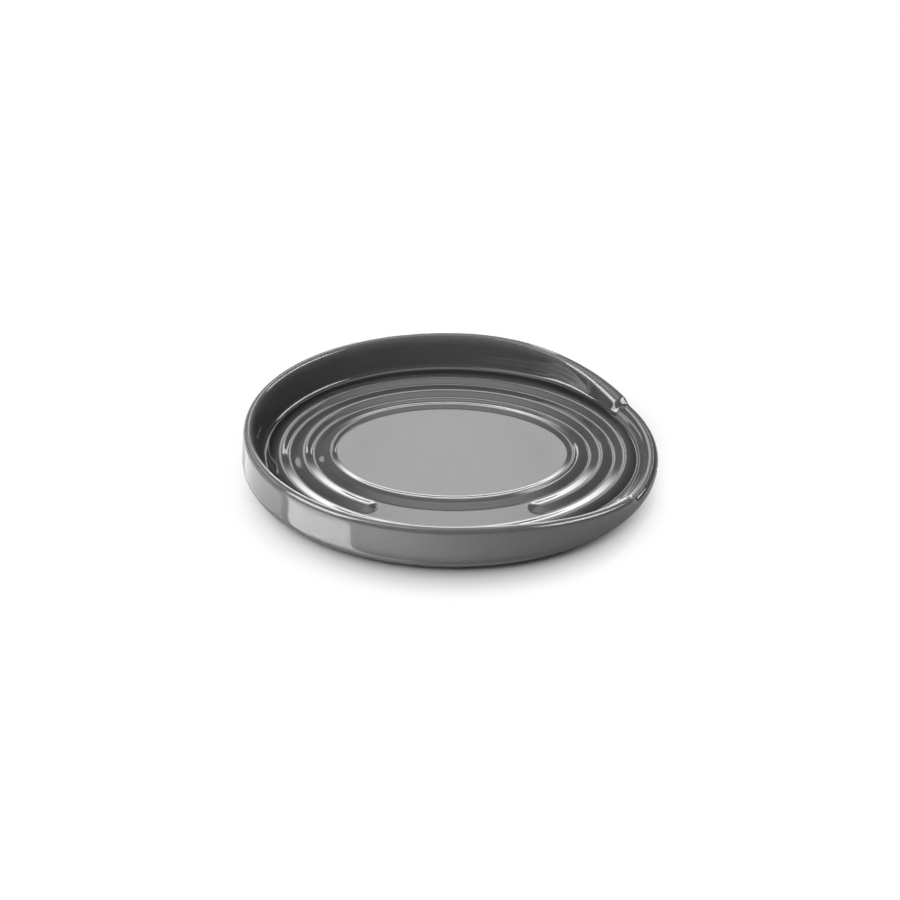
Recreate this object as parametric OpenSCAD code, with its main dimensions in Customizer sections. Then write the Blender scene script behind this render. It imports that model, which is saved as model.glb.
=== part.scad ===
// Oval spoon rest in glazed stoneware: a shallow dish whose rim is level round the bowl end and
// sweeps down to the handle end, where a notch lets the handle lie flat. Raised rings drain the
// spoon. +X points to the notch, the dish stands on z = 0 and all sizes are in millimetres.

/* [Dish] */
// Length over the widest part of the wall, along X
dish_length = 150; // [130:1:200]
// Width over the widest part of the wall, along Y
dish_width = 115.4; // [105:0.2:160]
// Height of the level part of the rim above the table
rim_height = 19.2; // [16:0.1:24]
// How far the oval fills out beyond a true ellipse
fullness = 0.017; // [0:0.001:0.06]
// Angle at which the outer wall leans in towards the rim
outer_lean = 4.6; // [0:0.1:6]

/* [Rim] */
// Thickness of the rim
rim_thickness = 4.3; // [4.3:0.1:4.8]
// Width of the rounding on the rim's outside
rim_outer_radius = 1.8; // [1.2:0.1:2]
// Height of the rounding on the rim's outside
rim_outer_drop = 2.6; // [1.5:0.1:3]
// Radius of the rim's inner edge
rim_inner_radius = 1.6; // [1:0.1:1.6]
// Distance from the middle of the dish to where the rim starts to sweep down
sweep_start = 4.3; // [-10:0.1:20]
// Radius of the rim's sweep, seen from the side
sweep_radius = 217; // [200:1:400]
// Angle at which the inner wall leans from upright
wall_draft = 14; // [8:1:15]
// Radius of the curve from the inner wall to the floor
wall_fillet = 2; // [1:0.1:3]

/* [Notch] */
// Width of the notch for the spoon's handle
notch_width = 56; // [30:1:64]
// How far the notch's middle lies to the back of the dish
notch_offset = 1.5; // [0:0.5:3]
// Length of the step from the rim down into the notch
notch_step = 3; // [2:0.5:6]
// Height of the notch's lip above the groove at the wall's foot
notch_lip = 2; // [1.5:0.1:3]
// Radius of the top of the notch's lip
notch_crown = 6; // [3:0.5:8]
// Radius of the curve from the notch's lip to the floor
notch_fillet = 4.5; // [2:0.5:5]
// Angle at which the inside of the notch's lip leans from upright
notch_draft = 55; // [45:1:65]

/* [Floor] */
// Height above the table of the groove at the wall's foot
floor_height = 6.4; // [6.2:0.1:8]
// How much higher the innermost groove lies
floor_rise = 0.5; // [0:0.1:1]
// Height of the flat centre above the innermost groove
flat_step = 0.7; // [0:0.1:1]
// Distance from the widest part of the wall to the groove at its foot, at the ends of the dish
ring_start_end = 8.8; // [8.8:0.1:12]
// Distance from the widest part of the wall to the groove at its foot, at the sides of the dish
ring_start_side = 10.1; // [8.8:0.1:13]
// Number of raised rings
ring_count = 3; // [1:1:4]
// Distance from ring to ring at the ends of the dish
ring_pitch_end = 8.65; // [6:0.05:9]
// Distance from ring to ring at the sides of the dish
ring_pitch_side = 7.85; // [6:0.05:8.6]
// Height of the rings above the grooves
ring_height = 1.05; // [0.6:0.05:1.6]
// Share of the pitch between the upper ends of a ring's flanks
ring_top = 0.3; // [0.1:0.01:0.4]
// Share of the pitch between the lower ends of a ring's flanks
ring_foot = 0.76; // [0.6:0.01:0.9]
// Length of the gap in the middle ring at the front, between the centres of its rounded ends
ring_gap = 57; // [20:1:60]
// Length over which the ring's ends round off beside the gap
ring_end = 3; // [2:0.5:5]

/* [Foot] */
// Radius of the curve from the outer wall under to the foot
foot_radius = 6; // [4:0.1:6]
// Width of the bare foot ring that touches the table
foot_width = 4; // [3:0.1:6]
// Depth of the hollow inside the foot ring
foot_hollow = 1.5; // [1:0.1:2]
// How much is ground off the foot so that it stands flat
foot_grind = 0.3; // [0.1:0.1:0.6]

/* [Glaze] */
// Thickness of the fired glaze
glaze = 0.4; // [0.2:0.05:0.5]
// Angle up the foot's curve at which the glaze stops
glaze_line = 28; // [25:1:60]

/* [Hidden] */

// Heights of the notch's lip and of the flat centre
lip_height = floor_height + notch_lip;
flat_height = floor_height + floor_rise + flat_step;

// The foot's curve is limited by the lip above it, which needs room for its own rounding
foot_share = 0.72;
foot_curve_radius = min(foot_radius, foot_share * lip_height);

// Half lengths and half widths of the outer oval, of the groove at the wall's foot and of the foot
rim_oval = [dish_length, dish_width] / 2;
floor_oval = rim_oval - [ring_start_end, ring_start_side];
ring_pitch = [ring_pitch_end, ring_pitch_side];
foot_oval = rim_oval - [foot_curve_radius, foot_curve_radius];
hollow_oval = foot_oval - [foot_width, foot_width];
hollow_top = foot_hollow + glaze;
gap_ring = ceil(ring_count / 2);
gap_oval = floor_oval - (ring_count - gap_ring + 0.5) * ring_pitch;

// Points along each rounded stretch of the cross-section and along each ring
foot_steps = 4;
rim_steps = 3;
fillet_steps = 4;
ring_steps = 6;
least_radius = 0.05;
// The most that the rim's roundings and the fillet take of the height they have
rim_share = 0.8;
crown_share = 0.55;
fillet_share = 0.42;
// Softness of a ring's shoulders and grooves, as a share of its height
ring_softness = 0.45;

// Angles round the oval of the notch's two steps and of the gap's two ends
notch_back_in = asin((notch_offset + (notch_width - notch_step) / 2) / rim_oval.y);
notch_back_out = asin((notch_offset + (notch_width + notch_step) / 2) / rim_oval.y);
notch_front_in = asin((notch_offset - (notch_width - notch_step) / 2) / rim_oval.y);
notch_front_out = asin((notch_offset - (notch_width + notch_step) / 2) / rim_oval.y);
gap_in = asin((ring_gap / 2 - ring_end) / gap_oval.x);
gap_out = asin(ring_gap / 2 / gap_oval.x);

// Angles of all cross-sections round the dish: closer together where the notch and the gap are
stops = [notch_front_in, notch_back_in, notch_back_out, 270 - gap_out, 270 - gap_in, 270 + gap_in,
    270 + gap_out, 360 + notch_front_out, 360 + notch_front_in];
steps = [6, 3, 26, 3, 8, 3, 5, 3];
angles = [for (k = [0:len(steps) - 1]) for (i = [0:steps[k] - 1])
    stops[k] + (stops[k + 1] - stops[k]) * i / steps[k]];

// A point on an oval with the given half length and half width
function on_oval(half, angle) =
    [half.x * cos(angle), half.y * sin(angle) * (1 + fullness * pow(cos(angle), 2))];

// A smooth climb from 0 to 1 as t goes from 0 to 1
function ease(t) = let (c = max(0, min(1, t))) c * c * (3 - 2 * c);

// Height of the rim at x, before the notch is taken out
function sweep(x) = let (past = max(0, x - sweep_start))
    rim_height - sweep_radius + sqrt(pow(sweep_radius, 2) - pow(past, 2));

// How much of the rim stands at an angle: none of it in the notch
function raised(angle) = let (p = on_oval(rim_oval, angle))
    p.x > 0 ? ease((abs(p.y - notch_offset) - notch_width / 2) / notch_step + 0.5) : 1;

// Height of the rim at an angle, with the notch at the handle end
function rim_at(angle) = lip_height + (sweep(on_oval(rim_oval, angle).x) - lip_height) * raised(angle);

// A size that has one value under the full rim and another in the notch
function between(full, notch, angle) = notch + (full - notch) * raised(angle);

// Steps up and down whose corners are rounded
function soft_min(a, b, k) = min(a, b) - pow(max(k - abs(a - b), 0) / k, 3) * k / 6;
function soft_max(a, b, k) = -soft_min(-a, -b, k);

// The foot's curve from the glaze line up to the wall, at a depth under the glaze's surface
function foot_curve(depth) = [for (i = [0:foot_steps]) let (
    a = glaze_line + (90 + outer_lean - glaze_line) * i / foot_steps,
    r = foot_curve_radius - depth
) [foot_oval + r * [sin(a), sin(a)], foot_curve_radius - r * cos(a)]];

// Width and height of the rounding on the rim's outside, and the angle at which it leaves the wall
function rim_size(h) = let (
    room = (h - foot_curve_radius) * rim_share,
    wide = min(rim_outer_radius, room),
    high = min(rim_outer_drop, room)
) [wide, high, atan(high / wide * tan(outer_lean))];

// How far in from the widest part of the wall the rim's rounding starts
function rim_inset(h) = let (
    size = rim_size(h),
    rise = h - size[1] * (1 - sin(size[2])) - foot_curve_radius * (1 + sin(outer_lean))
) foot_curve_radius * (1 - cos(outer_lean)) + rise * tan(outer_lean);

// The rim's outer edge, from the wall to the top
function rim_curve(depth, h) = [for (i = [0:rim_steps]) let (
    size = rim_size(h),
    a = size[2] + (90 - size[2]) * i / rim_steps,
    inset = rim_inset(h) + size[0] * cos(size[2]) - (size[0] - depth) * cos(a)
) [rim_oval - [inset, inset], h - size[1] + (size[1] - depth) * sin(a)]];

// The inner wall at an angle: where it starts, the radii at its top and foot, and its lean
function wall_at(angle) = let (
    h = rim_at(angle),
    lean = between(wall_draft, notch_draft, angle),
    climb = h - floor_height,
    room = climb / (1 - sin(lean)),
    crown = rim_inset(h) + rim_size(h)[0] * cos(rim_size(h)[2]) + least_radius,
    top = max(rim_thickness - rim_inner_radius, crown),
    inner = min(between(rim_inner_radius, notch_crown, angle), room * crown_share),
    reach = min(ring_start_end, ring_start_side) - top - climb * tan(lean),
    most = reach / tan(45 - lean / 2) - inner,
    fillet = min(between(wall_fillet, notch_fillet, angle), room * fillet_share)
) [top, inner, max(least_radius, min(fillet, most)), lean];

// The rim's inner edge and the inner wall down to the floor
function wall_curve(depth, angle) = let (
    h = rim_at(angle),
    w = wall_at(angle),
    lean = w[3],
    straight = h - floor_height - (w[1] + w[2]) * (1 - sin(lean)),
    middle = w[0] + (w[1] + w[2]) * cos(lean) + straight * tan(lean)
) concat(
    [for (i = [0:rim_steps]) let (
        a = (90 - lean) * i / rim_steps,
        inset = w[0] + (w[1] - depth) * sin(a)
    ) [rim_oval - [inset, inset], h - w[1] + (w[1] - depth) * cos(a)]],
    [for (i = [0:fillet_steps]) let (
        a = lean + (90 - lean) * i / fillet_steps,
        inset = middle - (w[2] + depth) * cos(a)
    ) [rim_oval - [inset, inset], floor_height + w[2] - (w[2] + depth) * sin(a)]]);

// Height of a ring, from 0 to 1, at a distance in pitches from its crest: the gap's ring has round ends
function ring_level(ring, side, angle) = let (
    short = max(0, ring_gap / 2 - abs(gap_oval.x * cos(angle))) / ring_pitch_side,
    reach = ring == gap_ring && sin(angle) < 0 ? norm([side, short]) : side,
    flank = (ring_foot - 2 * reach) / (ring_foot - ring_top)
) soft_max(soft_min(flank, 1, ring_softness), 0, ring_softness);

// The rings, from the wall's foot in to the flat centre
function ring_curve(depth, angle) = [for (ring = [ring_count:-1:1]) for (k = [1:ring_steps]) let (
    across = ring_count - ring + k / ring_steps,
    climb = floor_rise * across / ring_count + flat_step * ease(2 * (across - ring_count) + 1)
) [floor_oval - across * ring_pitch,
    floor_height - depth + climb + ring_height * ring_level(ring, abs(k / ring_steps - 0.5), angle)]];

// One cross-section of the upper surface, from the glaze line over the rim to the flat centre
function section(depth, angle) = let (h = rim_at(angle))
    concat(foot_curve(depth), rim_curve(depth, h), wall_curve(depth, angle), ring_curve(depth, angle));

// The same cross-section from the flat centre back to the glaze line
function section_back(depth, angle) = let (s = section(depth, angle))
    [for (i = [len(s) - 1:-1:0]) s[i]];

// The underside of the clay, from the hollow out across the foot to the glaze line
function foot_section() = let (r = foot_curve_radius - glaze, a = glaze_line / 2) [
    [hollow_oval - [hollow_top, hollow_top], hollow_top],
    [hollow_oval + [foot_grind, foot_grind], -foot_grind],
    [foot_oval - [foot_grind, foot_grind], -foot_grind],
    [foot_oval + r * [sin(a), sin(a)], foot_curve_radius - r * cos(a)]];

// The glaze inside the hollow, from its open face to the clay
function hollow_section() = [
    [hollow_oval - [foot_hollow, foot_hollow], foot_hollow],
    [hollow_oval - [hollow_top, hollow_top], hollow_top]];

// A closed solid through the cross-sections at all angles, with one pole at each end of them
module loft(first_pole, sections, last_pole) {
    turns = len(sections);
    rows = len(sections[0]);
    points = concat(
        [first_pole],
        [for (j = [0:turns - 1]) for (s = sections[j]) concat(on_oval(s[0], angles[j]), s[1])],
        [last_pole]);
    function at(j, i) = 1 + (j % turns) * rows + i;
    last = 1 + turns * rows;
    faces = [for (j = [0:turns - 1]) each concat(
        [[0, at(j, 0), at(j + 1, 0)], [last, at(j + 1, rows - 1), at(j, rows - 1)]],
        [for (i = [0:rows - 2]) each [
            [at(j, i), at(j, i + 1), at(j + 1, i)],
            [at(j + 1, i), at(j, i + 1), at(j + 1, i + 1)]]])];
    polyhedron(points, faces);
}

// What the grinding takes away: all below the table
module ground_off() {
    translate([-dish_length, -dish_width, -rim_height])
        cube([2 * dish_length, 2 * dish_width, rim_height]);
}

// The fired clay: dish, rings and the bare foot ring
module stoneware_body() {
    color("wheat") difference() {
        loft(
            [0, 0, hollow_top],
            [for (a = angles) concat(foot_section(), section(glaze, a))],
            [0, 0, flat_height - glaze]);
        ground_off();
    }
}

// The glaze fused to the clay: one skin over the dish and one inside the foot's hollow
module glaze_coat() {
    color("dimgray") loft(
        [0, 0, flat_height - glaze],
        [for (a = angles) concat(section_back(glaze, a), section(0, a))],
        [0, 0, flat_height]);
    color("dimgray") loft(
        [0, 0, foot_hollow],
        [for (a = angles) hollow_section()],
        [0, 0, hollow_top]);
}

stoneware_body();
glaze_coat();
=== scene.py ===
import math
import bpy
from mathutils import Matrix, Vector


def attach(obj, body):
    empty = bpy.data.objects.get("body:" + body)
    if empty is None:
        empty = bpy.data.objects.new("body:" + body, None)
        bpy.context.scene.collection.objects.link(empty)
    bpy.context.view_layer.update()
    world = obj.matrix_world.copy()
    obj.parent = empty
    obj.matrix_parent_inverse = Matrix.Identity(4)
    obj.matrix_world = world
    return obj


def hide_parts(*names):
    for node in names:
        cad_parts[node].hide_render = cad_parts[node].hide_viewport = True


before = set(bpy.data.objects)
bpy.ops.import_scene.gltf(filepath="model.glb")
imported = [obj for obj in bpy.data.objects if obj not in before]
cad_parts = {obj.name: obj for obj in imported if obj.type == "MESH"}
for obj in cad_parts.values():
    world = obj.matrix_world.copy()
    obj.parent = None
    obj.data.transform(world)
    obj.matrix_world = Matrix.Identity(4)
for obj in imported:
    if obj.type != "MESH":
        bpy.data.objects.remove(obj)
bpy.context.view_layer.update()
scene = bpy.context.scene
scene.view_settings.view_transform = "Standard"
print("frame loaded:", sorted(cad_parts))

mm = 0.001  # the camera's and the dish's values are in millimetres, those of the stage in metres
degree = math.pi / 180.0


# camera
cameraValues = {
    "distance": 1000.0,
    "elevation": 40.05,
    "turn": 1.9,          # degrees that the camera stands to the right of the dish's short axis
    "lens": 110.45,
    "sensor": 36.0,
    "shiftY": 0.0193,
}


def addCamera(v):
    turn = v["turn"] * degree
    rise = v["elevation"] * degree
    back = Vector((math.sin(turn) * math.cos(rise), -math.cos(turn) * math.cos(rise), math.sin(rise)))
    data = bpy.data.cameras.new("photoCamera")
    data.lens = v["lens"]
    data.sensor_width = v["sensor"]
    data.shift_y = v["shiftY"]
    camera = bpy.data.objects.new("photoCamera", data)
    camera.location = back * v["distance"] * mm
    camera.rotation_euler = (-back).to_track_quat("-Z", "Y").to_euler()
    scene.collection.objects.link(camera)
    scene.camera = camera


addCamera(cameraValues)
print("camera placed")


# fields: arithmetic on a field adds Math nodes to its node tree
class Field:
    def __init__(self, tree, socket):
        self.tree = tree
        self.socket = socket

    def math(self, operation, *values):
        node = self.tree.nodes.new("ShaderNodeMath")
        node.operation = operation
        for place, value in enumerate(values):
            if isinstance(value, Field):
                self.tree.links.new(value.socket, node.inputs[place])
            else:
                node.inputs[place].default_value = value
        return Field(self.tree, node.outputs[0])

    def __add__(self, other):
        return self.math("ADD", self, other)

    def __radd__(self, other):
        return self.math("ADD", other, self)

    def __sub__(self, other):
        return self.math("SUBTRACT", self, other)

    def __rsub__(self, other):
        return self.math("SUBTRACT", other, self)

    def __mul__(self, other):
        return self.math("MULTIPLY", self, other)

    def __rmul__(self, other):
        return self.math("MULTIPLY", other, self)

    def __truediv__(self, other):
        return self.math("DIVIDE", self, other)

    def sin(self):
        return self.math("SINE", self)

    def cos(self):
        return self.math("COSINE", self)

    def tan(self):
        return self.math("TANGENT", self)

    def arc(self):
        return self.math("ARCTANGENT", self)

    def root(self):
        return self.math("SQRT", self)

    def exp(self):
        return self.math("EXPONENT", self)

    def power(self, other):
        return self.math("POWER", self, other)

    def size(self):
        return self.math("ABSOLUTE", self)

    def fraction(self):
        return self.math("FRACT", self)

    def floor(self):
        return self.math("FLOOR", self)

    def atMost(self, other, soft=0.0):
        return self.math("SMOOTH_MIN", self, other, soft) if soft else self.math("MINIMUM", self, other)

    def atLeast(self, other, soft=0.0):
        return self.math("SMOOTH_MAX", self, other, soft) if soft else self.math("MAXIMUM", self, other)

    def above(self, other):
        return self.math("GREATER_THAN", self, other)

    def share(self):
        return self.atLeast(0.0).atMost(1.0)

    def ease(self):
        part = self.share()
        return part * part * (3.0 - 2.0 * part)


def hypot(a, b):
    return (a * a + b * b).root()


# the dish: one cross-section walked round an oval, sizes as in the part's source, but with softer
# rings that lie further out at the notch, a narrower lip there, a flat that lies 0.2 mm lower and a
# wall that leans more beside the notch
dishValues = {
    "Length": 150.0,
    "Width": 115.4,
    "Rim Height": 19.2,
    "Fullness": 0.017,         # how much the oval is fuller than an ellipse
    "Rim Thickness": 4.3,
    "Rim Outer Radius": 1.8,
    "Rim Outer Drop": 2.6,     # height of the rim's outer rounding
    "Outer Lean": 4.6,         # degrees that the outer wall leans in towards the rim
    "Sweep Start": 4.3,        # where the rim starts to fall towards the notch, from the middle
    "Sweep Radius": 217.0,
    "Notch Width": 56.0,
    "Notch Offset": 1.5,       # how far the notch's middle lies to the back
    "Notch Step": 3.0,         # width of the slope at each side of the notch
    "Notch Lip": 2.0,          # height of the lip over the groove
    "Notch Draft": 48.0,       # degrees that the lip's inside leans from upright
    "Notch Inner Radius": 4.0,
    "Notch Fillet": 1.0,
    "Beside Notch": 19.0,      # how far beside the notch the wall starts to lean more
    "Beside Draft": 28.35,     # what its draft and roundings come to there
    "Beside Inner Radius": 3.14,
    "Beside Fillet": 2.875,
    "Floor Height": 6.4,       # the groove at the wall's foot
    "Floor Rise": 0.5,         # how much higher the innermost groove lies
    "Flat Step": 0.5,          # the flat's height over that
    "Wall Draft": 14.0,        # degrees that the inner wall leans from upright
    "Wall Inner Radius": 1.6,  # between the rim's top and the inner wall
    "Wall Fillet": 2.0,
    "Ring Start End": 8.8,     # from the rim's outer edge to the outer ring's groove, at the ends
    "Ring Start Side": 10.1,   # the same at the sides
    "Ring Shift": 1.3,         # how much further out the rings lie at the notch end
    "Ring Pitch End": 8.65,
    "Ring Pitch Side": 7.85,
    "Ring Height": 1.0,
    "Ring Top": 0.085,         # half widths of a ring's top and foot, in pitches
    "Ring Foot": 0.435,
    "Ring Shoulder": 0.30,     # softness of the ring's shoulders and of the grooves
    "Ring Groove": 0.30,
    "Ring Tilt": 1.5,          # degrees that a ring's top leans outwards
    "Gap Reach": 28.5,         # where the middle ring's rounded ends are centred, from the middle
    "Gap Shift": 3.7,          # how much further that is towards the notch
    "Foot Radius": 6.0,
    "Foot Width": 4.0,
    "Foot Hollow": 1.5,
    "Glaze": 0.4,
    "Glaze Line": 28.0,        # degrees up the foot's curve at which the glaze stops
}
ringCount = 3
gapRing = 1  # counted inwards from the wall
glazeRows = {"foot": 8, "wall": 6, "rimOuter": 10, "rimTop": 5, "rimInner": 7, "innerWall": 7,
             "fillet": 10, "groove": 4, "rings": 54, "flat": 5}
clayRows = {"foot": 4, "wall": 2, "rimOuter": 4, "rimTop": 2, "rimInner": 3, "innerWall": 2,
            "fillet": 4, "groove": 2, "rings": 24, "flat": 2}
footRows = {"hollow": 3, "slope": 1, "land": 2, "toe": 3}
hollowRows = {"face": 3, "edge": 1, "back": 3}
roomShare = 0.8     # the most that the rim's rounding takes of the wall's height
innerShare = 0.55   # the most that the rounding at the rim's inside and the fillet take of theirs
filletShare = 0.42
leastRadius = 0.05  # no rounding gets smaller than this
leastShare = 0.001  # a row this near to the end of the flat is its last
flatEase = 4.0      # the step up to the flat takes a pitch divided by this
seamReach = 0.001   # points nearer than this are joined
around = 540        # steps round the dish
clayAround = 240
quarter = math.pi / 2.0


def newTree(name, values):
    tree = bpy.data.node_groups.new(name, "GeometryNodeTree")
    tree.interface.new_socket("Geometry", in_out="OUTPUT", socket_type="NodeSocketGeometry")
    for label, value in values.items():
        socket = tree.interface.new_socket(label, in_out="INPUT", socket_type="NodeSocketFloat")
        socket.default_value = value
    tree.interface.new_socket("Finish", in_out="INPUT", socket_type="NodeSocketMaterial")
    start = tree.nodes.new("NodeGroupInput")
    end = tree.nodes.new("NodeGroupOutput")
    fields = {label: Field(tree, start.outputs[label]) for label in values}
    return tree, start, end, fields


def rowGrid(tree, firstRow, rows, steps):
    # a flat grid whose X is the row and whose Y is the angle round the dish
    grid = tree.nodes.new("GeometryNodeMeshGrid")
    grid.inputs["Size X"].default_value = rows
    grid.inputs["Size Y"].default_value = 2.0 * math.pi
    grid.inputs["Vertices X"].default_value = rows + 1
    grid.inputs["Vertices Y"].default_value = steps + 1
    shift = tree.nodes.new("GeometryNodeTransform")
    shift.inputs["Translation"].default_value = (firstRow + rows / 2.0, 0.0, 0.0)
    tree.links.new(grid.outputs["Mesh"], shift.inputs["Geometry"])
    return shift.outputs[0]


def joinAll(tree, geometries):
    join = tree.nodes.new("GeometryNodeJoinGeometry")
    for geometry in geometries:
        tree.links.new(geometry, join.inputs[0])
    return join.outputs[0]


def rowAndAngle(tree):
    place = tree.nodes.new("GeometryNodeInputPosition")
    split = tree.nodes.new("ShaderNodeSeparateXYZ")
    tree.links.new(place.outputs[0], split.inputs[0])
    return Field(tree, split.outputs["X"]), Field(tree, split.outputs["Y"])


def shares(row, rows):
    # how far along each stretch of the section a row is, from 0 to 1
    found = {}
    first = 0
    for name, count in rows.items():
        found[name] = ((row - float(first)) / float(count)).share()
        first += count
    return found


def onOval(f, halfLength, halfWidth, angle):
    along = angle.cos()
    return halfLength * along, halfWidth * angle.sin() * (1.0 + f["Fullness"] * along * along)


def rimHeight(f, angle):
    x, y = onOval(f, f["Length"] / 2.0, f["Width"] / 2.0, angle)
    past = (x - f["Sweep Start"]).atLeast(0.0)
    radius = f["Sweep Radius"]
    swept = f["Rim Height"] - radius + (radius * radius - past * past).root()
    lip = f["Floor Height"] + f["Notch Lip"]
    beside = ((y - f["Notch Offset"]).size() - f["Notch Width"] / 2.0) / f["Notch Step"] + 0.5
    raised = beside.ease().atLeast((0.0 - x).above(0.0))
    near = 1.0 - (beside - 1.0) * f["Notch Step"] / f["Beside Notch"]
    return lip + (swept - lip) * raised, 1.0 - raised, near.ease() * x.above(0.0)


def ringLevel(f, across, angle):
    ring = across.floor()
    side = (across.fraction() - 0.5).size()
    gapHalf = f["Length"] / 2.0 - f["Ring Start End"] - f["Ring Pitch End"] * (gapRing + 0.5)
    gapReach = f["Gap Reach"] + f["Gap Shift"] * angle.cos().above(0.0)
    short = (gapReach - (gapHalf * angle.cos()).size()).atLeast(0.0) / f["Ring Pitch Side"]
    inGap = (1.0 - (ring - float(gapRing)).size()).share() * (0.0 - angle.sin()).above(0.0)
    reach = hypot(side, short * inGap)
    flank = (f["Ring Foot"] - reach) / (f["Ring Foot"] - f["Ring Top"])
    level = flank.atMost(1.0, f["Ring Shoulder"]).atLeast(0.0, f["Ring Groove"])
    tilt = (f["Ring Tilt"] * degree).tan() * f["Ring Pitch Side"]
    return level, level * (across.fraction() - 0.5) * tilt


def dishSection(f, share, angle, depth):
    # each stretch adds its own part of the way from the glaze line over the rim to the middle
    h, low, beside = rimHeight(f, angle)

    def changing(label):
        wall = f["Wall " + label] + (f["Beside " + label] - f["Wall " + label]) * beside
        return wall + (f["Notch " + label] - wall) * low

    radius = f["Foot Radius"]
    line = f["Glaze Line"] * degree
    lean = f["Outer Lean"] * degree
    turn = line + (quarter + lean - line) * share["foot"]
    inset = radius - (radius - depth) * turn.sin()
    z = radius - (radius - depth) * turn.cos()
    room = (h - radius) * roomShare
    outer = f["Rim Outer Radius"].atMost(room)
    fall = f["Rim Outer Drop"].atMost(room)
    first = (fall / outer * lean.tan()).arc()
    rise = h - fall * (1.0 - first.sin()) - radius * (1.0 + lean.sin())
    inset = inset + rise * lean.tan() * share["wall"]
    z = z + rise * share["wall"]
    turn = first + (quarter - first) * share["rimOuter"]
    inset = inset + (outer - depth) * (first.cos() - turn.cos())
    z = z + (fall - depth) * (turn.sin() - first.sin())
    crown = radius * (1.0 - lean.cos()) + rise * lean.tan() + outer * first.cos()
    draft = changing("Draft") * degree
    steep = 1.0 - draft.sin()
    climb = h - f["Floor Height"]
    inner = changing("Inner Radius").atMost(climb / steep * innerShare)
    start = (f["Rim Thickness"] - f["Wall Inner Radius"]).atLeast(crown + leastRadius)
    along = angle.cos().atLeast(0.0)
    startEnd = f["Ring Start End"] - f["Ring Shift"] * along * along
    reach = startEnd.atMost(f["Ring Start Side"]) - start - climb * draft.tan()
    most = reach / ((quarter - draft) / 2.0).tan() - inner
    fillet = changing("Fillet").atMost(climb / steep * filletShare).atMost(most).atLeast(leastRadius)
    within = (inner - depth).atLeast(0.0)
    inset = inset + (start - crown) * share["rimTop"]
    turn = share["rimInner"] * (quarter - draft)
    inset = inset + within * turn.sin()
    z = z - within * (1.0 - turn.cos())
    drop = climb - (inner + fillet) * steep
    run = drop * draft.tan()
    inset = inset + run * share["innerWall"]
    z = z - drop * share["innerWall"]
    turn = draft + (quarter - draft) * share["fillet"]
    inset = inset + (fillet + depth) * (draft.cos() - turn.cos())
    z = z - (fillet + depth) * (turn.sin() - draft.sin())
    foot = start + (inner + fillet) * draft.cos() + run
    insetX = inset + (startEnd - foot) * share["groove"]
    insetY = inset + (f["Ring Start Side"] - foot) * share["groove"]
    across = share["rings"] * float(ringCount)
    level, lean = ringLevel(f, across, angle)
    insetX = insetX + f["Ring Pitch End"] * across
    insetY = insetY + f["Ring Pitch Side"] * across
    inward = ((across - (ringCount - 0.5)) * flatEase).ease()
    z = z + f["Ring Height"] * level + lean + f["Floor Rise"] * share["rings"] + f["Flat Step"] * inward
    flatX = f["Length"] / 2.0 - startEnd - f["Ring Pitch End"] * float(ringCount)
    flatY = f["Width"] / 2.0 - f["Ring Start Side"] - f["Ring Pitch Side"] * float(ringCount)
    insetX = insetX + flatX * share["flat"]
    insetY = insetY + flatY * share["flat"]
    middle = share["flat"].above(1.0 - leastShare)  # the last row meets in one point
    z = z + (f["Floor Height"] + f["Floor Rise"] + f["Flat Step"] - depth - z) * middle
    halfX = (f["Length"] / 2.0 - insetX) * (1.0 - middle)
    halfY = (f["Width"] / 2.0 - insetY) * (1.0 - middle)
    # where the glaze pools, with painted shade in the crease at the wall's foot, and where it is thin,
    # with a painted highlight over the rim
    poolAndShade = share["fillet"].ease() * (1.0 - (across * 2.0).ease())
    thinAndHighlight = (share["rimOuter"] * 2.0).ease() * (1.0 - (share["innerWall"] * 4.0).ease()) * (1.0 - low)
    return halfX, halfY, z, level, poolAndShade, thinAndHighlight


def footSection(f, share):
    # the underside of the clay, from the middle of the hollow out to the glaze line
    top = f["Foot Hollow"] + f["Glaze"]
    radius = f["Foot Radius"]
    rest = f["Foot Width"] + radius + top
    line = f["Glaze Line"] * degree
    toe = radius - f["Glaze"]
    inset = rest - top * share["slope"] - f["Foot Width"] * share["land"]
    inset = inset - toe * (line * share["toe"]).sin()
    halfX = (f["Length"] / 2.0 - inset) * share["hollow"]
    halfY = (f["Width"] / 2.0 - inset) * share["hollow"]
    return halfX, halfY, top - top * share["slope"] + (radius - toe * line.cos()) * share["toe"]


def hollowSection(f, share):
    # the glaze inside the foot's hollow, from the middle of its face round its edge and back
    inset = f["Foot Radius"] + f["Foot Width"] + f["Foot Hollow"] + f["Glaze"] * share["edge"]
    out = share["face"] - share["back"]
    z = f["Foot Hollow"] + f["Glaze"] * share["edge"]
    return (f["Length"] / 2.0 - inset) * out, (f["Width"] / 2.0 - inset) * out, z


def placeRows(tree, geometry, x, y, z):
    joined = tree.nodes.new("ShaderNodeCombineXYZ")
    for axis, field in zip("XYZ", (x, y, z)):
        tree.links.new((field * mm).socket, joined.inputs[axis])
    move = tree.nodes.new("GeometryNodeSetPosition")
    tree.links.new(geometry, move.inputs["Geometry"])
    tree.links.new(joined.outputs[0], move.inputs["Position"])
    return move.outputs[0]


def closeSeams(tree, geometry):
    merge = tree.nodes.new("GeometryNodeMergeByDistance")
    merge.inputs["Distance"].default_value = seamReach * mm
    tree.links.new(geometry, merge.inputs["Geometry"])
    return merge.outputs[0]


def keepNumber(tree, geometry, name, field):
    store = tree.nodes.new("GeometryNodeStoreNamedAttribute")
    store.data_type = "FLOAT"
    store.inputs["Name"].default_value = name
    tree.links.new(geometry, store.inputs["Geometry"])
    tree.links.new(field.socket, store.inputs["Value"])
    return store.outputs[0]


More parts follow.
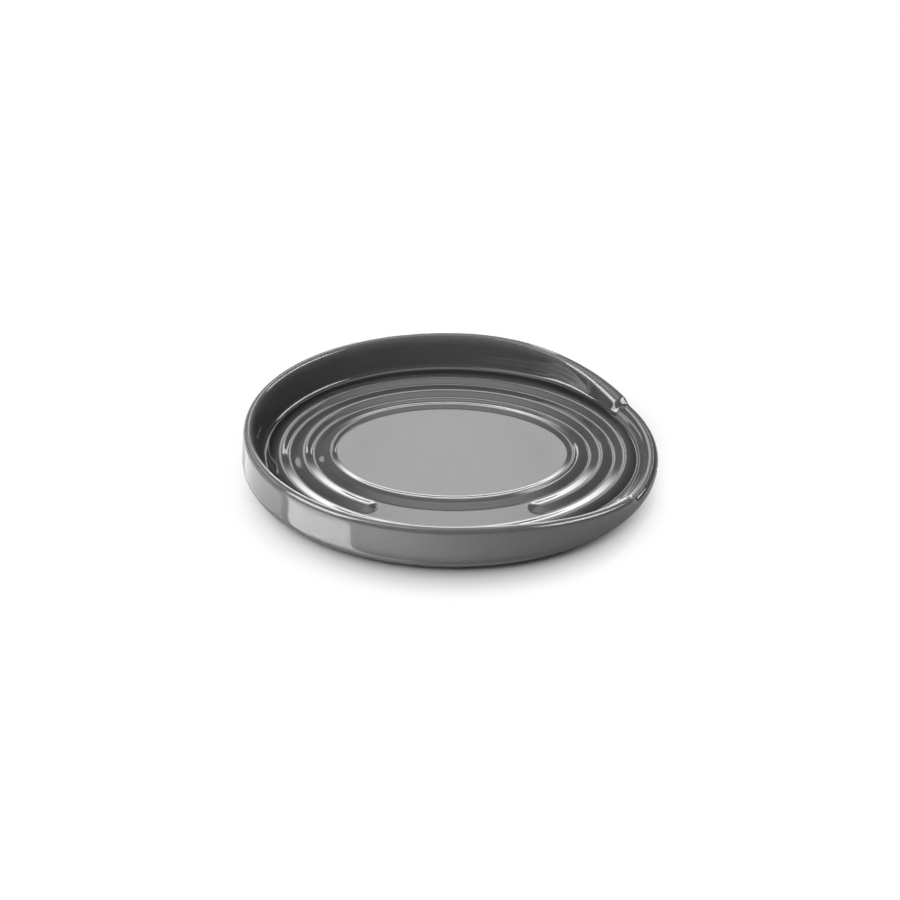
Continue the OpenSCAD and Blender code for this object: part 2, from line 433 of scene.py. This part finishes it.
def endTree(tree, start, end, geometry):
    for kind in ("FlipFaces", "SetShadeSmooth", "RealizeInstances", "SetMaterial"):
        node = tree.nodes.new("GeometryNode" + kind)
        tree.links.new(geometry, node.inputs[0])
        geometry = node.outputs[0]
    tree.links.new(start.outputs["Finish"], node.inputs["Material"])
    tree.links.new(geometry, end.inputs["Geometry"])


def makePiece(name, tree, values, material):
    # runs the tree on an empty mesh and keeps the result as a plain mesh at the origin
    holder = bpy.data.objects.new(name + "Tree", bpy.data.meshes.new(name + "Tree"))
    scene.collection.objects.link(holder)
    modifier = holder.modifiers.new("shape", "NODES")
    modifier.node_group = tree
    for item in tree.interface.items_tree:
        if item.in_out == "INPUT":
            modifier[item.identifier] = material if item.name == "Finish" else values[item.name]
    graph = bpy.context.evaluated_depsgraph_get()
    mesh = bpy.data.meshes.new_from_object(holder.evaluated_get(graph))
    mesh.name = name
    bpy.data.objects.remove(holder)
    piece = bpy.data.objects.new(name, mesh)
    scene.collection.objects.link(piece)
    print(name, "has", len(mesh.polygons), "faces")
    return piece


def glazeTree():
    # the fired skin: its outside on all rows, its inside on every other row, closed at the glaze line
    tree, start, end, f = newTree("glazeCoat", dishValues)
    count = sum(glazeRows.values())
    back = count + 1
    inside = count // 2
    geometry = joinAll(tree, [rowGrid(tree, 0, count, around), rowGrid(tree, back, inside + 1, around)])
    row, angle = rowAndAngle(tree)
    # rows past the outside walk back on the inside, two at a time, and the last one closes the edge
    isInside = (row - (back - 0.5)).share().above(0.0) * (back + inside + 0.5 - row).above(0.0)
    returned = (float(count) - 2.0 * (row - float(back))).atLeast(0.0)
    walked = row.atMost(returned.atLeast(row * (back - 0.5 - row).above(0.0)))
    section = dishSection(f, shares(walked, glazeRows), angle, f["Glaze"] * isInside)
    halfX, halfY, z, level, poolAndShade, thinAndHighlight = section
    x, y = onOval(f, halfX, halfY, angle)
    geometry = keepNumber(tree, geometry, "ridge", level)
    geometry = keepNumber(tree, geometry, "poolAndShade", poolAndShade)
    geometry = keepNumber(tree, geometry, "thinAndHighlight", thinAndHighlight)
    skin = placeRows(tree, geometry, x, y, z)
    halfX, halfY, z = hollowSection(f, shares(row, hollowRows))
    x, y = onOval(f, halfX, halfY, angle)
    plate = placeRows(tree, rowGrid(tree, 0, sum(hollowRows.values()), clayAround), x, y, z)
    endTree(tree, start, end, closeSeams(tree, joinAll(tree, [skin, plate])))
    return tree


def clayTree():
    # the fired clay: foot and hollow below, and the dish's shape under the glaze
    tree, start, end, f = newTree("stonewareBody", dishValues)
    under = sum(footRows.values())
    count = sum(clayRows.values())
    geometry = rowGrid(tree, 0, under + count + 1, clayAround)
    row, angle = rowAndAngle(tree)
    footX, footY, footZ = footSection(f, shares(row, footRows))
    halfX, halfY, z = dishSection(f, shares(row - (under + 1.0), clayRows), angle, f["Glaze"])[:3]
    isDish = row.above(under + 0.5)
    x, y = onOval(f, footX + (halfX - footX) * isDish, footY + (halfY - footY) * isDish, angle)
    geometry = placeRows(tree, geometry, x, y, footZ + (z - footZ) * isDish)
    endTree(tree, start, end, closeSeams(tree, geometry))
    return tree


# finishes
glazeValues = {
    # the darkest glaze, for pools, specks and painted shade in the crease at the wall's foot
    "pooledAndShaded": (0.030, 0.030, 0.031, 1.0),
    "middle": (0.095, 0.095, 0.096, 1.0),
    "broken": (0.110, 0.110, 0.110, 1.0),
    "thinAndHighlight": (0.170, 0.170, 0.170, 1.0),   # over the rim's edge, lighter for thinner glaze and a painted highlight
    "mottle": {"scale": 90.0, "detail": 4.0, "roughness": 0.6},   # scales are per metre
    "fine": {"scale": 810.0, "detail": 3.0, "roughness": 0.5},
    "wave": {"scale": 260.0, "detail": 2.0, "roughness": 0.4},
    "mottleShare": 0.16,
    "mottleAt": (0.25, 0.75),   # where each noise or height starts to show and shows in full
    "brokenAt": (0.7, 1.15),
    "roughAt": (0.3, 0.7),
    "roughness": 0.05,
    "roughnessSpread": 0.03,
    "speckShare": 0.35,
    "waveDepth": 0.00001,
    "ior": 1.52,
}
clayValues = {
    "pale": (0.62, 0.52, 0.40, 1.0),
    "dark": (0.40, 0.31, 0.22, 1.0),
    "grain": {"scale": 1500.0, "detail": 5.0, "roughness": 0.6},
    "tone": {"scale": 75.0, "detail": 3.0, "roughness": 0.5},
    "toneAt": (0.3, 0.7),
    "toneShare": 0.5,
    "grainAt": (0.4, 0.7),
    "grainShare": 0.35,
    "roughAt": (0.3, 0.7),
    "grainDepth": 0.00006,
    "roughness": 0.78,
    "roughnessSpread": 0.15,
}
speckValues = {
    "cellScale": 900.0,
    "spread": {"scale": 300.0, "detail": 2.0, "roughness": 0.5},
    "spreadAt": (0.45, 0.75),
    "size": 0.3,               # radius of the largest speck, in cells
    "edge": 0.15,
}


def addNode(tree, kind, settings, inputs):
    node = tree.nodes.new("ShaderNode" + kind)
    for name, value in settings.items():
        setattr(node, name, value)
    for name, value in inputs.items():
        if isinstance(value, bpy.types.NodeSocket):
            tree.links.new(value, node.inputs[name])
        else:
            node.inputs[name].default_value = value
    return node


def noise(tree, place, v):
    node = addNode(tree, "TexNoise", {}, {
        "Vector": place, "Scale": v["scale"], "Detail": v["detail"], "Roughness": v["roughness"]})
    return node.outputs[0]


def ramp(tree, factor, span, first, last):
    node = addNode(tree, "MapRange", {"interpolation_type": "SMOOTHSTEP"}, {
        "Value": factor, "From Min": span[0], "From Max": span[1], "To Min": first, "To Max": last})
    return node.outputs[0]


def blend(tree, factor, first, second):
    # a Mix node's colours are its inputs 6 and 7 and its output 2
    node = addNode(tree, "Mix", {"data_type": "RGBA"}, {"Factor": factor})
    for socket, value in zip((node.inputs[6], node.inputs[7]), (first, second)):
        if isinstance(value, bpy.types.NodeSocket):
            tree.links.new(value, socket)
        else:
            socket.default_value = value
    return node.outputs[2]


def speckGroup(v):
    # small iron specks, which show in the clay and faintly through the glaze
    tree = bpy.data.node_groups.new("ironSpecks", "ShaderNodeTree")
    tree.interface.new_socket("Vector", in_out="INPUT", socket_type="NodeSocketVector")
    tree.interface.new_socket("Scale", in_out="INPUT", socket_type="NodeSocketFloat")
    tree.interface.new_socket("Specks", in_out="OUTPUT", socket_type="NodeSocketFloat")
    start = tree.nodes.new("NodeGroupInput")
    end = tree.nodes.new("NodeGroupOutput")
    place = start.outputs["Vector"]
    cells = addNode(tree, "TexVoronoi", {}, {"Vector": place, "Scale": start.outputs["Scale"]})
    size = ramp(tree, noise(tree, place, v["spread"]), v["spreadAt"], 0.0, v["size"])
    within = Field(tree, size) - Field(tree, cells.outputs["Distance"])
    tree.links.new(ramp(tree, within.socket, (0.0, v["edge"]), 0.0, 1.0), end.inputs["Specks"])
    return tree


ironSpecks = speckGroup(speckValues)


def addSpecks(tree, place):
    node = tree.nodes.new("ShaderNodeGroup")
    node.node_tree = ironSpecks
    node.inputs["Scale"].default_value = speckValues["cellScale"]
    tree.links.new(place, node.inputs["Vector"])
    return node.outputs["Specks"]


def newMaterial(name):
    material = bpy.data.materials.new(name)
    material.use_nodes = True
    tree = material.node_tree
    place = tree.nodes.new("ShaderNodeTexCoord").outputs["Object"]
    return material, tree, tree.nodes["Principled BSDF"], place


def addBump(tree, shader, height, distance):
    bump = addNode(tree, "Bump", {}, {"Strength": 1.0, "Distance": distance, "Height": height})
    tree.links.new(bump.outputs[0], shader.inputs["Normal"])


def addRoughness(tree, shader, height, v):
    rough = ramp(tree, height, v["roughAt"], v["roughness"], v["roughness"] + v["roughnessSpread"])
    tree.links.new(rough, shader.inputs["Roughness"])


def kept(tree, name):
    # a number that the piece's Geometry Nodes tree stored
    return Field(tree, addNode(tree, "Attribute", {"attribute_name": name}, {}).outputs["Fac"])


def makeGlaze(v):
    material, tree, shader, place = newMaterial("greyGlaze")
    ridge, thinAndHighlight, poolAndShade = (kept(tree, name) for name in ("ridge", "thinAndHighlight", "poolAndShade"))
    mottle = noise(tree, place, v["mottle"])
    raised = Field(tree, noise(tree, place, v["fine"])) * v["mottleShare"] + ridge
    colour = blend(tree, ramp(tree, raised.socket, v["brokenAt"], 0.0, 1.0), v["middle"], v["broken"])
    # lighter over the rim, for thinner glaze and a painted highlight
    colour = blend(tree, thinAndHighlight.socket, colour, v["thinAndHighlight"])
    # darker where the glaze pools and in random mottle, plus painted shade in the crease at the wall's
    # foot
    pooledAndShaded = poolAndShade.atLeast(Field(tree, ramp(tree, mottle, v["mottleAt"], v["mottleShare"], 0.0)))
    colour = blend(tree, pooledAndShaded.socket, colour, v["pooledAndShaded"])
    specks = ramp(tree, addSpecks(tree, place), (0.0, 1.0), 0.0, v["speckShare"])
    colour = blend(tree, specks, colour, v["pooledAndShaded"])
    tree.links.new(colour, shader.inputs["Base Color"])
    addRoughness(tree, shader, mottle, v)
    shader.inputs["IOR"].default_value = v["ior"]
    addBump(tree, shader, noise(tree, place, v["wave"]), v["waveDepth"])
    return material


def makeClay(v):
    material, tree, shader, place = newMaterial("bareStoneware")
    grain = noise(tree, place, v["grain"])
    tone = noise(tree, place, v["tone"])
    colour = blend(tree, ramp(tree, tone, v["toneAt"], 0.0, v["toneShare"]), v["pale"], v["dark"])
    colour = blend(tree, ramp(tree, grain, v["grainAt"], 0.0, v["grainShare"]), colour, v["dark"])
    colour = blend(tree, addSpecks(tree, place), colour, v["dark"])
    tree.links.new(colour, shader.inputs["Base Color"])
    addRoughness(tree, shader, grain, v)
    addBump(tree, shader, grain, v["grainDepth"])
    return material


glazeMaterial = makeGlaze(glazeValues)
clayMaterial = makeClay(clayValues)
print("finishes made")

glaze = makePiece("glazeCoat", glazeTree(), dishValues, glazeMaterial)
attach(glaze, "root")
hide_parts("glaze_coat")
clay = makePiece("stonewareBody", clayTree(), dishValues, clayMaterial)
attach(clay, "root")
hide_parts("stoneware_body")

# floor, lamps and world
stageValues = {
    "floorSize": 4.0,
    "floorColour": (0.93, 0.93, 0.93, 1.0),
    "palerColour": (0.9486, 0.9486, 0.9486, 1.0),
    "shadeColour": (0.0, 0.0, 0.0, 1.0),
    "cloud": {"scale": 6.0, "detail": 3.0, "roughness": 0.5},
    "floorRoughness": 0.08,
    "floorIor": 1.6,
    "mirrorIor": 3.4,      # how strongly the glaze sees the lamps mirrored in the floor
    "whiteX": 0.081,       # half sizes of the oval outside which the floor is white
    "whiteY": 0.058,
    "whiteSides": 0.014,   # how far its front and back halves are each moved out
    "whiteFrom": 0.72,     # the share of the oval at which the white starts
    "shadeFrom": 0.934,    # where a painted shadow darkens the floor under the dish, how much, and how fast that fades
    "shade": 0.78,
    "shadeReach": 0.050,
    "floorGlow": 0.72,     # how much whiter the floor looks in the glaze
    "glowFrom": 0.97,      # where that starts and is full, in half sizes of the dish
    "glowBy": 1.30,
    "glowShare": 0.30,     # how much of it follows the white of the floor instead
    "spotX": -0.044,       # a brighter spot of the floor, as the glaze sees it
    "spotY": -0.080,
    "spotReach": 0.056,
    "spotGlow": 2.3,
    "worldLevel": 0.3,
}
# each lamp: azimuth from straight behind towards +X, elevation, sizes in metres, radiance at its
# middle, and the share of its half sizes at which a soft edge starts to fade, or 0 for a hard edge;
# glossOnly lamps show in reflections alone, and firstOnly lamps not in reflections of reflections
edgePower = 4.0    # how steeply a soft edge fades
firstDepth = 2.5   # between the ray depths of a first and a second reflection
lampValues = {
    "softBox": {"azimuth": -2.0, "elevation": 42.0, "distance": 0.9, "width": 0.44, "height": 0.50,
                "level": 4.9, "edge": 0.55},
    "lowBack": {"azimuth": -1.0, "elevation": 17.0, "distance": 0.9, "width": 0.44, "height": 0.56,
                "level": 9.0, "edge": 0.8},
    "strip": {"azimuth": 15.0, "elevation": 46.0, "distance": 0.9, "width": 0.05, "height": 0.4,
              "level": 8.0, "edge": 0.0},
    "leftLamp": {"azimuth": 240.0, "elevation": 35.0, "distance": 0.8, "width": 0.46, "height": 0.16,
                 "level": 8.0, "edge": 0.0},
    "leftPanel": {"azimuth": 240.0, "elevation": 33.0, "distance": 0.81, "width": 0.466, "height": 0.56,
                  "level": 8.0, "edge": 0.0, "glossOnly": True},
    "rightPanel": {"azimuth": 92.0, "elevation": 42.0, "distance": 0.8, "width": 0.80, "height": 0.26,
                   "level": 12.0, "edge": 0.0, "glossOnly": True, "firstOnly": True},
    "overhead": {"azimuth": 0.0, "elevation": 87.0, "distance": 1.0, "width": 0.9, "height": 1.1,
                 "level": 2.0, "edge": 0.9, "glossOnly": True},
    "sideLamp": {"azimuth": 293.0, "elevation": 35.0, "distance": 0.8, "width": 0.70, "height": 0.16,
                 "level": 3.5, "edge": 0.0},
    "frontLamp": {"azimuth": 215.0, "elevation": 55.0, "distance": 1.0, "width": 0.6, "height": 0.4,
                  "level": 5.0, "edge": 0.8},
}


def addLamp(name, v):
    azimuth = v["azimuth"] * degree
    rise = v["elevation"] * degree
    out = Vector((math.sin(azimuth) * math.cos(rise), math.cos(azimuth) * math.cos(rise), math.sin(rise)))
    data = bpy.data.lights.new(name, "AREA")
    data.shape = "RECTANGLE"
    data.size = v["width"]
    data.size_y = v["height"]
    data.energy = math.pi * v["width"] * v["height"] * v["level"]
    data.use_nodes = True
    tree = data.node_tree
    strength = tree.nodes["Emission"].inputs["Strength"]
    if v["edge"]:
        place = addNode(tree, "SeparateXYZ", {}, {0: tree.nodes.new("ShaderNodeTexCoord").outputs["UV"]})
        span = hypot(Field(tree, place.outputs["X"]) - 0.5, Field(tree, place.outputs["Y"]) - 0.5) * 2.0
        fade = (span / v["edge"]).power(edgePower)
        tree.links.new((0.0 - fade).exp().socket, strength)
    if v.get("firstOnly", False):
        depth = Field(tree, tree.nodes.new("ShaderNodeLightPath").outputs["Ray Depth"])
        tree.links.new((firstDepth - depth).above(0.0).socket, strength)
    lamp = bpy.data.objects.new(name, data)
    lamp.location = out * v["distance"]
    lamp.rotation_euler = (-out).to_track_quat("-Z", "Y").to_euler()
    lamp.visible_camera = False
    lamp.visible_diffuse = not v.get("glossOnly", False)
    scene.collection.objects.link(lamp)


def makeFloorMaterial(v):
    material, tree, shader, place = newMaterial("paleFloor")
    split = addNode(tree, "SeparateXYZ", {}, {0: place})
    x = Field(tree, split.outputs["X"])
    y = Field(tree, split.outputs["Y"])
    path = tree.nodes.new("ShaderNodeLightPath")
    glossy = Field(tree, path.outputs["Is Glossy Ray"])
    # colour, with a painted shadow where the dish stands
    out = hypot(x / (dishValues["Length"] * mm / 2.0), y / (dishValues["Width"] * mm / 2.0))
    shade = ((v["shadeFrom"] - out) / v["shadeReach"]).atMost(0.0).exp() * v["shade"]
    colour = blend(tree, noise(tree, place, v["cloud"]), v["floorColour"], v["palerColour"])
    tree.links.new(blend(tree, shade.socket, colour, v["shadeColour"]), shader.inputs["Base Color"])
    shader.inputs["Roughness"].default_value = v["floorRoughness"]
    ior = v["floorIor"] + glossy * (v["mirrorIor"] - v["floorIor"])
    tree.links.new(ior.socket, shader.inputs["IOR"])
    # white away from the dish, as the camera sees it
    beyond = (y.size() - v["whiteSides"]).atLeast(0.0)
    reach = hypot(x / v["whiteX"], beyond / v["whiteY"])
    away = Field(tree, ramp(tree, reach.socket, (v["whiteFrom"], 1.0), 0.0, 1.0))
    # glow, as the glaze sees it
    toSpot = hypot(x - v["spotX"], y - v["spotY"]) / v["spotReach"]
    spot = (0.0 - toSpot * toSpot).exp() * v["spotGlow"]
    lit = Field(tree, ramp(tree, out.socket, (v["glowFrom"], v["glowBy"]), 0.0, 1.0))
    lit = lit + (away - lit) * v["glowShare"]
    glow = glossy * lit * (spot + v["floorGlow"])
    shader.inputs["Emission Color"].default_value = (1.0, 1.0, 1.0, 1.0)
    tree.links.new(glow.socket, shader.inputs["Emission Strength"])
    white = tree.nodes.new("ShaderNodeEmission")
    seen = Field(tree, path.outputs["Is Camera Ray"]) * away
    mix = addNode(tree, "MixShader", {}, {0: seen.socket, 1: shader.outputs[0], 2: white.outputs[0]})
    tree.links.new(mix.outputs[0], tree.nodes["Material Output"].inputs["Surface"])
    return material


def addFloor(v):
    half = v["floorSize"] / 2.0
    mesh = bpy.data.meshes.new("floor")
    corners = [(-half, -half, 0.0), (half, -half, 0.0), (half, half, 0.0), (-half, half, 0.0)]
    mesh.from_pydata(corners, [], [(0, 1, 2, 3)])
    mesh.materials.append(makeFloorMaterial(v))
    floor = bpy.data.objects.new("floor", mesh)
    scene.collection.objects.link(floor)


def addWorld(v):
    world = bpy.data.worlds.new("studio")
    world.use_nodes = True
    tree = world.node_tree
    path = tree.nodes.new("ShaderNodeLightPath")
    level = ramp(tree, path.outputs["Is Camera Ray"], (0.0, 1.0), v["worldLevel"], 1.0)
    tree.links.new(level, tree.nodes["Background"].inputs["Strength"])
    tree.nodes["Background"].inputs["Color"].default_value = (1.0, 1.0, 1.0, 1.0)
    scene.world = world


addFloor(stageValues)
addWorld(stageValues)
for lampName, values in lampValues.items():
    addLamp(lampName, values)
print("floor and lamps placed")
